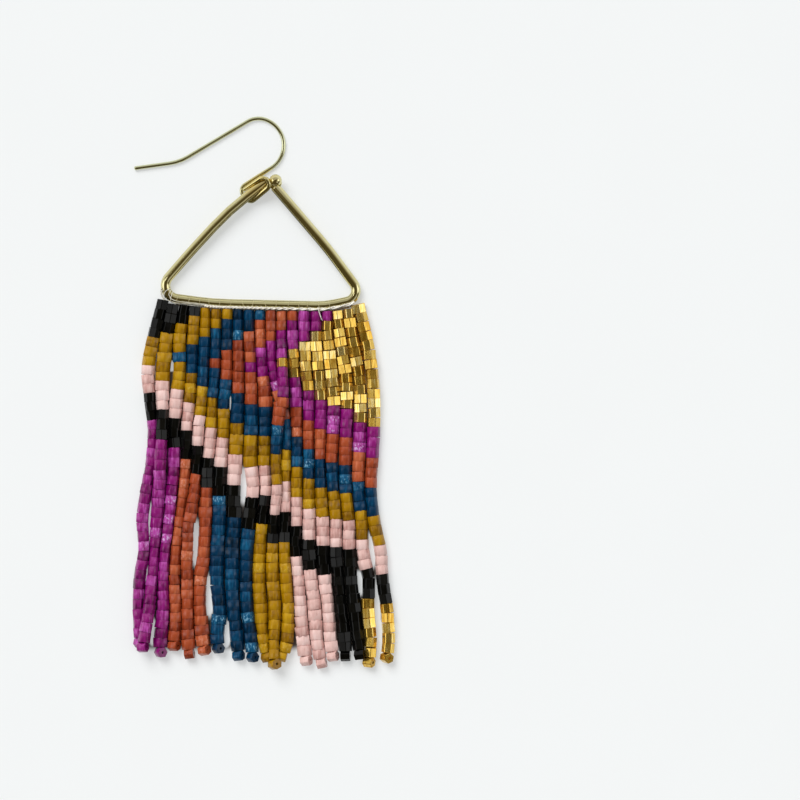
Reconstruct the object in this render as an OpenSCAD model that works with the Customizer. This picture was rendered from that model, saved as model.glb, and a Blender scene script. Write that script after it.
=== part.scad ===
// Beaded dangle earring, lying flat on the plane z = 0: a bent ear wire, a
// triangular wire frame whose apex leans on the ear wire's eye, and nineteen
// strings of small beads hung side by side from the frame's bottom bar.
// +X runs along the bar, +Y towards the ear wire, +Z up from the surface.

/* [Ear wire] */
// Thickness of the ear wire
hook_wire_d = 0.7; // [0.6:0.05:0.75]
// Straight tail, from its tip to its bend
tail_len = 8.4; // [7:0.1:10]
// Slope of the tail, in degrees
tail_rise = 8; // [4:1:12]
// Long arm that rests on the ear, between its two bends
arm_len = 17.7; // [17:0.1:18.5]
// Slope of the arm, in degrees
arm_rise = 30; // [28:0.5:32]
// Back of the hook, between the top bend and the back bend
back_len = 9.4; // [9.2:0.1:10]
// Slope of the back, in degrees
back_rise = 133; // [131:0.5:135]
// Radius of the bend at the tail
tail_bend_r = 4; // [2:0.5:6]
// Radius of the bend at the top of the hook
top_bend_r = 3.2; // [2.5:0.1:3.4]
// Radius of the bend at the back of the hook
back_bend_r = 4.2; // [3.5:0.1:4.4]
// Shank, from the back bend's corner to the eye
shank_len = 12.8; // [12:0.1:13.5]
// Slope of the shank, in degrees
shank_rise = 32.5; // [32:0.5:34]
// Length of the eye that holds the frame, between its wire's centres
eye_len = 5.2; // [5:0.1:5.3]
// Width of the eye at its low end, between its wire's centres
eye_w = 3.5; // [3.4:0.05:3.6]
// How much narrower the eye is at its high end
eye_taper = 0.3; // [0.1:0.1:0.3]
// Space between the eye and the frame's leg that it climbs over
eye_clearance = 0.1; // [0.1:0.05:0.3]

/* [Triangle frame] */
// Thickness of the frame's wire
frame_wire_d = 1.7; // [1.5:0.05:1.7]
// Diameter of the ball at the apex
ball_d = 2.2; // [2:0.1:2.3]
// Diameter of the flat lug under the ball
lug_d = 2.5; // [2.3:0.1:2.7]
// Thickness of the flat lug
lug_h = 0.9; // [0.6:0.1:1]
// Lean of the frame, apex up, in degrees
frame_lean = 2.6; // [2.6:0.1:3]

/* [Fringe] */
// Diameter of a string of beads, over its beads' corners
bead_d = 1.9; // [1.7:0.05:1.9]
// Distance between neighbouring strings along the bar
strand_pitch = 2; // [2:0.05:2.1]
// Middle of the fringe, to the right of the origin
fringe_x = -0.5; // [-0.7:0.1:-0.3]

/* [Hidden] */
strand_count = 19;

metal_color = "darkkhaki";

// Sides of a round wire and of a tube of beads
wire_sides = 32;
tube_sides = 8;

// A bend is this much thicker than the straight wire that runs into it, by this
// length, so that the two never share a surface
seam_step = 0.01;
seam_overlap = 0.05;

// Low corner of the eye, where the shank ends, and how tightly the eye bends at
// its low end and at its high end
eye_corner = [-4.4, 37.5];
eye_low_r = 1.3;
eye_high_r = 1.1;
// The eye's wire comes back beside the shank, this far inside it
eye_return = 0.6;
eye_return_len = 4.1;

// The frame's corners, each a row of x, y and the radius of its bend
FRAME_CORNERS = [
    [  1.3, 39.2, 0],
    [ -6.2, 33.4, 50],
    [-20.1, 17.8, 2.4],
    [ -9.2, 16.3, 50],
    [ 11.4, 15.9, 15],
    [ 18.6, 17.5, 2.1],
    [ 12.0, 26.3, 60],
    [  1.9, 38.1, 0]
];
bar_y = 15.9;
ball_pos = [2.4, 38.9];
lug_pos = [2.3, 38.5];
// The lug's underside and the ball's centre, from the middle of the wire
lug_z = -0.3;
ball_z = 0.35;

// The strings of beads, left to right. A row holds the heights of the string's
// top and end, then how far it strays to the side of its place on the bar: at
// its top, at eleven evenly spaced stations, and at its end.
first_station_y = 9.7;
station_step = 5.5;
STRANDS = [
    [16.9, -46.6,  0.4, -1.8, -2.4, -2.1, -1.7, -1.8, -2.7, -3.5, -3.2, -4.0, -4.3, -4.4, -4.4],
    [16.1, -47.3,  0.2, -1.2, -1.8, -2.1, -2.0, -2.5, -2.6, -2.9, -3.3, -3.7, -4.6, -5.4, -5.2],
    [16.0, -48.4,  0.2, -0.7, -0.5, -1.2, -1.7, -1.5, -2.0, -2.6, -3.4, -3.8, -3.6, -4.1, -4.2],
    [15.7, -47.2,  0.1, -0.3, -0.6, -0.9, -1.4, -1.6, -2.1, -2.7, -3.4, -3.6, -3.5, -3.7, -3.7],
    [15.5, -48.7,  0.0, -0.1, -0.3, -0.7, -1.4, -1.6, -2.0, -3.1, -3.4, -3.5, -3.3, -3.2, -2.8],
    [15.3, -48.0, -0.1, -0.1, -0.3, -0.7, -0.9, -1.6, -1.9, -2.0, -2.3, -2.9, -3.0, -2.5, -2.0],
    [15.3, -47.7,  0.0, -0.1, -0.1, -0.8, -0.8, -1.2, -1.5, -1.5, -1.9, -2.0, -1.5, -1.7, -1.5],
    [15.2, -49.0,  0.0,  0.0,  0.1,  0.0, -0.3, -0.6, -0.8, -0.8, -1.1, -1.0, -0.7, -0.3,  0.2],
    [15.1, -49.3, -0.1,  0.0,  0.3,  0.3,  0.5,  0.3,  0.8,  0.2, -0.4, -0.6, -0.5,  0.5,  0.7],
    [15.0, -49.3,  0.0,  0.1,  0.5,  0.9,  0.9,  0.9,  1.1,  0.5,  0.0, -0.2,  0.2,  0.7,  1.5],
    [15.0, -49.1,  0.0,  0.0,  0.4,  1.8,  2.8,  2.7,  2.6,  2.5,  2.5,  2.9,  3.3,  2.7,  1.8],
    [14.9, -50.5,  0.0, -0.1,  0.1,  0.1, -0.6, -1.0, -0.8, -1.4, -1.7, -1.7, -1.3, -1.5, -1.2],
    [14.9, -49.9, -0.1, -0.1,  0.2,  0.7,  0.7,  0.7,  0.7,  0.8,  0.5,  1.0,  1.3,  2.0,  2.6],
    [14.9, -50.4,  0.0,  0.1,  0.5,  1.0,  0.9,  1.0,  0.9,  0.8,  0.8,  1.3,  2.1,  2.4,  3.5],
    [14.8, -49.1,  0.3,  0.3,  0.7,  1.1,  1.0,  1.0,  1.2,  1.7,  1.7,  2.0,  2.6,  3.0,  3.5],
    [14.9, -49.1,  0.3,  0.4,  1.0,  1.5,  1.4,  1.0,  1.4,  1.9,  1.9,  2.4,  2.8,  3.5,  3.7],
    [15.0, -48.8,  0.2,  0.8,  1.7,  2.0,  1.8,  1.7,  1.7,  2.3,  2.4,  2.7,  3.3,  4.1,  4.4],
    [15.3, -50.2,  0.1,  0.9,  1.9,  2.4,  2.3,  2.1,  2.1,  2.6,  2.9,  3.9,  3.8,  4.2,  3.9],
    [16.2, -49.4,  0.0,  1.2,  2.4,  2.8,  2.9,  2.5,  2.2,  2.9,  3.9,  4.5,  5.2,  5.6,  5.1]
];

// Where a string climbs over its neighbour. A row holds the string's number,
// then its height above the surface at its top, its stations and its end.
LIFTS = [
    [ 2, 0, 0, 0.0, 0.4, 1.2, 1.5, 0.6, 0.0, 0.0, 0.2, 1.2, 1.8, 1.8],
    [ 5, 0, 0, 0.0, 0.0, 0.3, 0.0, 0.4, 1.1, 0.5, 0.0, 0.0, 0.0, 0.0],
    [12, 0, 0, 1.4, 2.1, 1.7, 0.9, 1.3, 0.7, 0.0, 0.0, 0.0, 0.9, 1.9],
    [17, 0, 0, 0.0, 0.0, 0.0, 0.0, 0.0, 0.0, 0.0, 0.0, 0.0, 0.3, 1.2]
];

// Points on a string's route: its top, its stations and its end
route_points = len(STRANDS[0]) - 2;

// The beads' colour at the foot of the strings, left to right: three strings to a
// colour, apart from two black ones and two gold ones at the right
TAIL_COLORS = ["mediumvioletred", "sienna", "steelblue", "goldenrod", "mistyrose", "black", "gold"];
first_gold = 18;
function tail_color(i) = TAIL_COLORS[i < first_gold ? floor((i - 1) / 3) : 6];

function strand_name(i) = str("bead_strand_", i < 10 ? "0" : "", i);

function polar(length, angle) = [length * cos(angle), length * sin(angle)];
function unit(v) = v / norm(v);

// A wire's route is a list of corners, each a row of x, y, z and bend radius
function corner(p) = [p.x, p.y, p.z];
function heading(route, i) = unit(corner(route[i + 1]) - corner(route[i]));
function turn(route, i) = acos(heading(route, i - 1) * heading(route, i));
// Distance from a corner to either end of its bend
function setback(route, i) =
    i == 0 || i == len(route) - 1 ? 0 : route[i][3] * tan(turn(route, i) / 2);

// Turns +Z to the direction d
module point_along(d) {
    rotate([0, acos(d.z), atan2(d.y, d.x)]) children();
}

// The straight stretch that leaves corner i, run a little into the bends at its ends
module wire_stretch(route, i, wire_d) {
    d = heading(route, i);
    overlap_in = i == 0 ? 0 : seam_overlap;
    overlap_out = i == len(route) - 2 ? 0 : seam_overlap;
    start = corner(route[i]) + (setback(route, i) - overlap_in) * d;
    end = corner(route[i + 1]) - (setback(route, i + 1) - overlap_out) * d;
    translate(start) point_along(d) cylinder(d = wire_d, h = norm(end - start), $fn = wire_sides);
}

// Rounds off a cut end of the wire
module wire_tip(p, wire_d) {
    translate(p) sphere(d = wire_d - seam_step, $fn = wire_sides);
}

// The bend at corner i, turned into the plane of the stretches that it joins
module wire_bend(route, i, wire_d) {
    d_in = heading(route, i - 1);
    d_out = heading(route, i);
    inward = unit(d_out - (d_in * d_out) * d_in);
    bend_r = route[i][3];
    centre = corner(route[i]) - setback(route, i) * d_in + bend_r * inward;
    axis = cross(-inward, d_in);
    multmatrix([
        [-inward.x, d_in.x, axis.x, centre.x],
        [-inward.y, d_in.y, axis.y, centre.y],
        [-inward.z, d_in.z, axis.z, centre.z],
        [0, 0, 0, 1]
    ])
        rotate_extrude(angle = turn(route, i), $fn = 4 * wire_sides)
            translate([bend_r, 0]) circle(d = wire_d + seam_step, $fn = wire_sides);
}

module bent_wire(route, wire_d) {
    last = len(route) - 1;
    for (i = [0 : last - 1]) wire_stretch(route, i, wire_d);
    for (i = [1 : last - 1]) wire_bend(route, i, wire_d);
    wire_tip(corner(route[0]) + seam_overlap * heading(route, 0), wire_d);
    wire_tip(corner(route[last]) - seam_overlap * heading(route, last - 1), wire_d);
}

// Shank and eye lie along one slope, with the eye's far side towards the frame
function along_shank(length, across) =
    eye_corner + polar(length, shank_rise) + polar(across, shank_rise - 90);

back_corner = along_shank(shank_len, 0);
top_corner = back_corner + polar(back_len, back_rise);
tail_corner = top_corner - polar(arm_len, arm_rise);
tail_tip = tail_corner - polar(tail_len, tail_rise);

function at_height(p, z, bend_r) = [p.x, p.y, z, bend_r];

hook_z = (hook_wire_d + seam_step) / 2;
leg_top_z = frame_wire_d + seam_step
    + (along_shank(eye_len, eye_w / 2).y - bar_y) * sin(frame_lean);
eye_top_z = leg_top_z + eye_clearance + hook_z;
// The returning wire comes down as steeply as the far side goes up
eye_end_z = eye_top_z - (eye_top_z - hook_z) * eye_return_len / eye_len;

HOOK_ROUTE = [
    at_height(tail_tip, hook_z, 0),
    at_height(tail_corner, hook_z, tail_bend_r),
    at_height(top_corner, hook_z, top_bend_r),
    at_height(back_corner, hook_z, back_bend_r),
    at_height(eye_corner, hook_z, eye_low_r),
    at_height(along_shank(0, eye_w), hook_z, eye_low_r),
    at_height(along_shank(eye_len, eye_w - eye_taper), eye_top_z, eye_high_r),
    at_height(along_shank(eye_len, eye_return), eye_top_z, eye_high_r),
    at_height(along_shank(eye_len - eye_return_len, eye_return), eye_end_z, 0)
];

module ear_hook() {
    color(metal_color) bent_wire(HOOK_ROUTE, hook_wire_d);
}

module triangle_frame() {
    route = [for (c = FRAME_CORNERS) [c.x, c.y - bar_y, 0, c[2]]];
    color(metal_color)
        translate([0, bar_y, (frame_wire_d + seam_step) / 2]) rotate([frame_lean, 0, 0]) {
            bent_wire(route, frame_wire_d);
            translate([lug_pos.x, lug_pos.y - bar_y, lug_z])
                cylinder(d = lug_d, h = lug_h, $fn = wire_sides);
            translate([ball_pos.x, ball_pos.y - bar_y, ball_z])
                sphere(d = ball_d, $fn = wire_sides);
        }
}

tube_rest_z = bead_d / 2 * cos(180 / tube_sides);

function lift(i, k) = let (row = [for (l = LIFTS) if (l[0] == i) l]) len(row) == 0 ? 0 : row[0][k + 1];

// Point k of string i: its top, its stations downwards, and its end
function strand_y(i, k) =
    k == 0 ? STRANDS[i - 1][0] :
    k == route_points - 1 ? STRANDS[i - 1][1] :
    first_station_y - (k - 1) * station_step;
function strand_point(i, k) = [
    fringe_x + (i - (strand_count + 1) / 2) * strand_pitch + STRANDS[i - 1][k + 2],
    strand_y(i, k),
    tube_rest_z + lift(i, k)
];

// Eight corners of a ring round point k, square to the string's direction there
function ring(points, k, r) =
    let (
        last = len(points) - 1,
        along = unit(points[min(k + 1, last)] - points[max(k - 1, 0)]),
        side = unit(cross(along, [0, 0, 1])),
        up = cross(side, along)
    )
    [for (s = [0 : tube_sides - 1])
        let (a = (s + 0.5) * 360 / tube_sides)
        points[k] + r * (cos(a) * side + sin(a) * up)];

module bead_tube(points, d) {
    rings = len(points);
    corners = [for (k = [0 : rings - 1]) each ring(points, k, d / 2)];
    walls = [for (k = [0 : rings - 2], s = [0 : tube_sides - 1])
        let (a = k * tube_sides, b = a + tube_sides, t = (s + 1) % tube_sides)
        [a + s, a + t, b + t, b + s]];
    first_cap = [for (s = [0 : tube_sides - 1]) tube_sides - 1 - s];
    last_cap = [for (s = [0 : tube_sides - 1]) (rings - 1) * tube_sides + s];
    polyhedron(corners, concat([first_cap], walls, [last_cap]), convexity = 4);
}

module bead_strand(i) {
    color(tail_color(i))
        bead_tube([for (k = [0 : route_points - 1]) strand_point(i, k)], bead_d);
}

ear_hook();
triangle_frame();
for (i = [1 : strand_count])
    bead_strand(i);
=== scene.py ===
"""Beaded dangle earring lying on a pale floor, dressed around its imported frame.

An ear wire and a triangular wire frame of pale gold, nineteen strings of cut
glass beads below the frame's bar, and the thread that lashes them to the bar.
Sizes are millimetres until a mesh is finished, which turns them into metres.
"""

import logging
import math
import random
from bisect import bisect_right
from dataclasses import dataclass, field
from enum import Enum

import bmesh
import bpy
from mathutils import Matrix, Vector


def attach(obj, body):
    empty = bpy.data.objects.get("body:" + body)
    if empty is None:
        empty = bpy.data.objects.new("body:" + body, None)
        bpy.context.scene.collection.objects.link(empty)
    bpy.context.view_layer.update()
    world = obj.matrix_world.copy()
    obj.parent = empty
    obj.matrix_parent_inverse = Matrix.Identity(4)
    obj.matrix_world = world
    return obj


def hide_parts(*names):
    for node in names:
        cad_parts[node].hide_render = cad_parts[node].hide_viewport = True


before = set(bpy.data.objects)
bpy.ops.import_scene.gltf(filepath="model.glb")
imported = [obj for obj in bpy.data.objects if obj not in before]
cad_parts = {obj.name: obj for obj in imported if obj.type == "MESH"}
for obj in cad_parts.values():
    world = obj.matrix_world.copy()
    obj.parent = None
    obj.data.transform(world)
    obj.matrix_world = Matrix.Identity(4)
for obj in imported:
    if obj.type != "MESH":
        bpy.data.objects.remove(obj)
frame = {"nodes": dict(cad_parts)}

MM = 0.001
BODY = "root"
log = logging.getLogger("earring")

# The photograph's frame: its size in pixels, millimetres to a pixel, and the
# pixel at the object's origin
PHOTO_PX = 800
MM_PER_PX = 5.5 / 30
ORIGIN_PX = (262.75, 393.0)

# The beads' own values, which their glaze reads
BEAD_TONE = "bead_tone"
BEAD_ALONG = "bead_along"

Rgba = tuple[float, float, float, float]
BLANK: Rgba = (0.0, 0.0, 0.0, 1.0)
WHITE: Rgba = (1.0, 1.0, 1.0, 1.0)


def photo_point(px: float, py: float, z: float = 0.0) -> Vector:
    """Place of a pixel of the photograph.

    Args:
        px: The pixel's column.
        py: The pixel's row.
        z: Height above the floor in millimetres.

    Returns:
        The point in millimetres.
    """
    return Vector(((px - ORIGIN_PX[0]) * MM_PER_PX, (ORIGIN_PX[1] - py) * MM_PER_PX, z))


def tone(red: int, green: int, blue: int) -> Rgba:
    """Linear colour of an sRGB one.

    Args:
        red: Red from 0 to 255.
        green: Green from 0 to 255.
        blue: Blue from 0 to 255.

    Returns:
        Red, green, blue and alpha as Blender takes them.
    """

    def linear(value: int) -> float:
        """One channel, with the display's curve taken off."""
        share = value / 255
        return share / 12.92 if share <= 0.04045 else ((share + 0.055) / 1.055) ** 2.4

    return linear(red), linear(green), linear(blue), 1.0


@dataclass(frozen=True)
class Grain:
    """A noise: grains to a metre, how much finer it is along each axis, and its finer layers."""

    scale: float
    stretch: tuple[float, float, float] = (1.0, 1.0, 1.0)
    detail: float = 2.0


class NodeBench:
    """Places and links the nodes of one node tree."""

    def __init__(self, tree: bpy.types.NodeTree) -> None:
        """Keeps the tree that it fills."""
        self.tree = tree

    def place(self, kind: str, values: dict | None = None, **settings: object) -> bpy.types.Node:
        """Adds a node.

        Args:
            kind: Blender's name of the node's type.
            values: Input sockets by name or number, each a value or a socket to link.
            **settings: The node's own properties.

        Returns:
            The node.
        """
        node = self.tree.nodes.new(kind)
        for name, value in settings.items():
            setattr(node, name, value)
        for key, value in (values or {}).items():
            socket = node.inputs[key]
            if isinstance(value, bpy.types.NodeSocket):
                self.tree.links.new(value, socket)
            else:
                socket.default_value = value
        return node

    def math(self, operation: str, first: object, second: object = 0.0) -> bpy.types.NodeSocket:
        """Result of a Math node on two values or sockets."""
        return self.place("ShaderNodeMath", {0: first, 1: second}, operation=operation).outputs[0]

    def vector(
        self, operation: str, first: object, second: object | None = None
    ) -> bpy.types.NodeSocket:
        """Result of a Vector Math node.

        Args:
            operation: Blender's name of the operation.
            first: The first vector or its socket.
            second: The second one, if the operation takes two.

        Returns:
            The socket of the resulting vector or number.
        """
        values = {0: first} if second is None else {0: first, 1: second}
        node = self.place("ShaderNodeVectorMath", values, operation=operation)
        return node.outputs["Value" if operation in ("DOT_PRODUCT", "DISTANCE", "LENGTH") else "Vector"]

    def between(
        self, value: object, low: float, high: float, to_low: float = 0.0, to_high: float = 1.0
    ) -> bpy.types.NodeSocket:
        """Maps a value smoothly from one range to another.

        Args:
            value: The value or socket.
            low: Start of the range that is read.
            high: End of the range that is read.
            to_low: What the start becomes.
            to_high: What the end becomes.

        Returns:
            The mapped value's socket.
        """
        values = {0: value, 1: low, 2: high, 3: to_low, 4: to_high}
        return self.place("ShaderNodeMapRange", values, interpolation_type="SMOOTHSTEP").outputs[0]

    def blend(self, share: object, first: object, second: object) -> bpy.types.NodeSocket:
        """Mixes two colours.

        Args:
            share: How much of the second colour shows.
            first: The first colour or its socket.
            second: The second colour or its socket.

        Returns:
            The mixed colour's socket.
        """
        node = self.place("ShaderNodeMix", data_type="RGBA")
        for key, value in {0: share, 6: first, 7: second}.items():
            if isinstance(value, bpy.types.NodeSocket):
                self.tree.links.new(value, node.inputs[key])
            else:
                node.inputs[key].default_value = value
        return node.outputs[2]

    def here(self) -> bpy.types.NodeSocket:
        """The place on the piece, in its own coordinates."""
        return self.place("ShaderNodeTexCoord").outputs["Object"]

    def speckle(self, grain: Grain) -> bpy.types.NodeSocket:
        """Noise on the piece's own coordinates.

        Args:
            grain: The noise's scale, stretch and detail.

        Returns:
            The noise's value socket.
        """
        mapping = self.place("ShaderNodeMapping", {"Vector": self.here(), "Scale": grain.stretch})
        values = {"Vector": mapping.outputs[0], "Scale": grain.scale, "Detail": grain.detail}
        return self.place("ShaderNodeTexNoise", values).outputs[0]


class SurfaceGroup:
    """A shader node group that puts out a colour, a roughness and a height."""

    KINDS = {float: "NodeSocketFloat", tuple: "NodeSocketColor", Vector: "NodeSocketVector"}

    def __init__(self, name: str, inputs: dict[str, float | Rgba | Vector]) -> None:
        """Opens the group.

        Args:
            name: The group's name.
            inputs: Names of its inputs with the values that they start from.
        """
        self.tree = bpy.data.node_groups.new(name, "ShaderNodeTree")
        for label, value in inputs.items():
            kind = self.KINDS[type(value)]
            socket = self.tree.interface.new_socket(name=label, in_out="INPUT", socket_type=kind)
            socket.default_value = value
        for label, kind in (("Color", tuple), ("Roughness", float), ("Height", float)):
            self.tree.interface.new_socket(name=label, in_out="OUTPUT", socket_type=self.KINDS[kind])
        self.bench = NodeBench(self.tree)
        self.given = self.bench.place("NodeGroupInput").outputs

    def close(self, color: object, roughness: object, height: object) -> bpy.types.NodeTree:
        """Links what the group puts out.

        Args:
            color: The colour's socket.
            roughness: The roughness's socket.
            height: The height's socket.

        Returns:
            The finished group.
        """
        self.bench.place("NodeGroupOutput", {"Color": color, "Roughness": roughness, "Height": height})
        return self.tree


# The middle of every noise's values
NOISE_MIDDLE = 0.5

# The grains of the glaze: silky streaks along the bead, whose light side is painted sheen, soft
# mottling, and the specks of painted glints
STREAK_GRAIN = Grain(2900, (1.0, 0.14, 1.0), 3.0)
MOTTLE_GRAIN = Grain(900)
GLINT_GRAIN = Grain(3000, (1.0, 0.6, 1.0), 3.0)

# The glaze's limits: how much shade turns a bead wholly light or deep, how much
# of it is mottling, where the painted shade at a bead's cut ends begins and how
# dark it is, which grains of the noise are specks, which beads get painted glints,
# and how far along they are
FULL_SHADE = 0.6
MOTTLE_SHARE = 0.5
SEAM_SHADE_RANGE = (0.86, 1.0)
SEAM_SHADE_SHARE = 0.5
SPECK_RANGE = (0.53, 0.62)
GLINTED_BEAD_RANGE = (0.83, 0.9)
GLINT_MIDDLE = (0.95, 0.45)


def glaze_group() -> bpy.types.NodeTree:
    """Builds the bead glaze: own tone, streaks with painted sheen, painted shade at cut ends, a few
    painted glints.

    Returns:
        The group.
    """
    group = SurfaceGroup(
        "bead glaze",
        {"Main": BLANK, "Light": BLANK, "Deep": BLANK, "Glint": WHITE, "Streaks": 0.8, "Tone": 0.35,
         "Glints": 0.0, "Roughness": 0.3, "Grain": 0.15},
    )
    bench, given = group.bench, group.given
    own = bench.place("ShaderNodeAttribute", attribute_name=BEAD_TONE).outputs["Fac"]
    along = bench.place("ShaderNodeAttribute", attribute_name=BEAD_ALONG).outputs["Fac"]
    streak = bench.math("SUBTRACT", bench.speckle(STREAK_GRAIN), NOISE_MIDDLE)
    mottle = bench.math("SUBTRACT", bench.speckle(MOTTLE_GRAIN), NOISE_MIDDLE)
    # The streaks' light side stands for the satin glass's sheen, a painted sheen. Their dark side and
    # each bead's own tone are its colour.
    shade = bench.math("MULTIPLY", streak, given["Streaks"])
    shade = bench.math("ADD", shade, bench.math("MULTIPLY", own, given["Tone"]))
    shade = bench.math("ADD", shade, bench.math("MULTIPLY", mottle, MOTTLE_SHARE))
    color = bench.blend(bench.between(shade, 0.0, FULL_SHADE), given["Main"], given["Light"])
    color = bench.blend(bench.between(shade, 0.0, -FULL_SHADE), color, given["Deep"])
    off_middle = bench.math("ABSOLUTE", along)
    # Painted shade: each bead darkens towards Deep at its cut ends, where it meets the next bead.
    end = bench.between(off_middle, *SEAM_SHADE_RANGE)
    color = bench.blend(bench.math("MULTIPLY", end, SEAM_SHADE_SHARE), color, given["Deep"])
    # Painted glints: light specks near the middle of a few beads, in the Glint colour.
    specks = bench.between(bench.speckle(GLINT_GRAIN), *SPECK_RANGE)
    painted_glints = bench.math("MULTIPLY", specks, bench.between(own, *GLINTED_BEAD_RANGE))
    painted_glints = bench.math("MULTIPLY", painted_glints, bench.between(off_middle, *GLINT_MIDDLE))
    color = bench.blend(bench.math("MULTIPLY", painted_glints, given["Glints"]), color, given["Glint"])
    roughness = bench.math("ADD", given["Roughness"], bench.math("MULTIPLY", mottle, given["Grain"]))
    return group.close(color, roughness, streak)


# The metal's grains and limits: dull patches, fine pits and smudges, and how near
# the spot, in shares of its reach, the colour is warm
PATCH_GRAIN = Grain(260, detail=4.0)
PATCH_RANGE = (0.42, 0.72)
PIT_GRAIN = Grain(5200, detail=1.0)
SMUDGE_GRAIN = Grain(900)
SMUDGE_MIDDLE = 0.4
SMUDGE_DEPTH = 0.12
WARM_RANGE = (1.0, 0.35)


def drawn_metal_group() -> bpy.types.NodeTree:
    """Builds the drawn metal: dull olive patches, a warmer colour round one spot, pits and smudges.

    Returns:
        The group.
    """
    group = SurfaceGroup(
        "drawn metal",
        {"Main": BLANK, "Dull": BLANK, "Warm": BLANK, "Spot": Vector(), "Reach": MM, "Patches": 0.4,
         "Roughness": 0.08},
    )
    bench, given = group.bench, group.given
    patch = bench.between(bench.speckle(PATCH_GRAIN), *PATCH_RANGE)
    color = bench.blend(bench.math("MULTIPLY", patch, given["Patches"]), given["Main"], given["Dull"])
    away = bench.vector("DISTANCE", bench.here(), given["Spot"])
    near = bench.between(bench.math("DIVIDE", away, given["Reach"]), *WARM_RANGE)
    color = bench.blend(near, color, given["Warm"])
    smudge = bench.math("SUBTRACT", bench.speckle(SMUDGE_GRAIN), SMUDGE_MIDDLE)
    roughness = bench.math("ADD", given["Roughness"], bench.math("MULTIPLY", smudge, SMUDGE_DEPTH))
    return group.close(color, roughness, bench.speckle(PIT_GRAIN))


# The thread's grain and limits: its filaments, the shade between them, and how
# much rougher they make it
FIBRE_GRAIN = Grain(7000, (0.25, 1.0, 1.0))
FIBRE_RANGE = (0.45, 0.7)
FIBRE_ROUGHNESS = 0.2


def fibre_group() -> bpy.types.NodeTree:
    """Builds the thread fibre: pale filaments with grey shade between them.

    Returns:
        The group.
    """
    group = SurfaceGroup("thread fibre", {"Main": BLANK, "Shade": BLANK, "Roughness": 0.35})
    bench, given = group.bench, group.given
    fibre = bench.speckle(FIBRE_GRAIN)
    color = bench.blend(bench.between(fibre, *FIBRE_RANGE), given["Main"], given["Shade"])
    rougher = bench.math("MULTIPLY", fibre, FIBRE_ROUGHNESS)
    return group.close(color, bench.math("ADD", given["Roughness"], rougher), fibre)


class SharedGroup(Enum):
    """The node groups that the finishes share, each built when it is first asked for."""

    GLAZE = "bead glaze"
    METAL = "drawn metal"
    FIBRE = "thread fibre"

    def tree(self) -> bpy.types.NodeTree:
        """Finds or builds the group.

        Returns:
            Its node tree.
        """
        builders = {
            SharedGroup.GLAZE: glaze_group,
            SharedGroup.METAL: drawn_metal_group,
            SharedGroup.FIBRE: fibre_group,
        }
        return bpy.data.node_groups.get(self.value) or builders[self]()


def dress_material(
    name: str, shared: SharedGroup, choices: dict[str, object], shader: dict[str, object], bump: float
) -> bpy.types.Material:
    """Makes a material whose colour, roughness and bump come from a shared group.

    Args:
        name: The material's name.
        shared: The node group.
        choices: The group's inputs.
        shader: Constant sockets of the Principled shader.
        bump: Depth of the bump in millimetres.

    Returns:
        The material.
    """
    material = bpy.data.materials.new(name)
    material.use_nodes = True
    bench = NodeBench(material.node_tree)
    surface = bench.place("ShaderNodeGroup", node_tree=shared.tree())
    for label, value in choices.items():
        surface.inputs[label].default_value = value
    height = surface.outputs["Height"]
    relief = bench.place("ShaderNodeBump", {"Strength": 1.0, "Distance": bump * MM, "Height": height})
    principled = material.node_tree.nodes["Principled BSDF"]
    for label, value in shader.items():
        principled.inputs[label].default_value = value
    bench.tree.links.new(surface.outputs["Roughness"], principled.inputs["Roughness"])
    bench.tree.links.new(surface.outputs["Color"], principled.inputs["Base Color"])
    bench.tree.links.new(relief.outputs[0], principled.inputs["Normal"])
    return material


@dataclass(frozen=True)
class GlassFinish:
    """Finish of one colour of cut glass bead."""

    name: str
    main: Rgba
    light: Rgba
    deep: Rgba
    roughness: float = 0.3
    grain: float = 0.15
    streaks: float = 0.8
    variety: float = 0.35
    metallic: float = 0.0
    specular: float = 0.4
    coat: float = 0.3
    coat_roughness: float = 0.05
    bump: float = 0.005
    crisp: bool = False
    glint: Rgba = WHITE
    glints: float = 0.0

    def material(self) -> bpy.types.Material:
        """Makes the bead's material.

        Returns:
            The material.
        """
        choices = {
            "Main": self.main, "Light": self.light, "Deep": self.deep, "Glint": self.glint,
            "Streaks": self.streaks, "Tone": self.variety, "Glints": self.glints,
            "Roughness": self.roughness, "Grain": self.grain,
        }
        shader = {
            "Metallic": self.metallic, "Specular IOR Level": self.specular, "Coat Weight": self.coat,
            "Coat Roughness": self.coat_roughness,
        }
        return dress_material(self.name, SharedGroup.GLAZE, choices, shader, self.bump)


@dataclass(frozen=True)
class MetalFinish:
    """Finish of the gilded wire."""

    name: str
    main: Rgba
    dull: Rgba
    warm: Rgba
    spot: tuple[float, float, float] = (-1.0, 38.5, 2.0)
    reach: float = 4.8
    patches: float = 0.4
    roughness: float = 0.08
    bump: float = 0.001

    def material(self) -> bpy.types.Material:
        """Makes the wire's material.

        Returns:
            The material.
        """
        choices = {
            "Main": self.main, "Dull": self.dull, "Warm": self.warm, "Spot": Vector(self.spot) * MM,
            "Reach": self.reach * MM, "Patches": self.patches, "Roughness": self.roughness,
        }
        return dress_material(self.name, SharedGroup.METAL, choices, {"Metallic": 1.0}, self.bump)


@dataclass(frozen=True)
class ThreadFinish:
    """Finish of the beading thread."""

    name: str
    main: Rgba
    shade: Rgba
    roughness: float = 0.35
    sheen: float = 0.3
    coat: float = 0.4
    coat_roughness: float = 0.2
    bump: float = 0.01

    def material(self) -> bpy.types.Material:
        """Makes the thread's material.

        Returns:
            The material.
        """
        choices = {"Main": self.main, "Shade": self.shade, "Roughness": self.roughness}
        shader = {
            "Sheen Weight": self.sheen, "Coat Weight": self.coat, "Coat Roughness": self.coat_roughness,
        }
        return dress_material(self.name, SharedGroup.FIBRE, choices, shader, self.bump)


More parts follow.
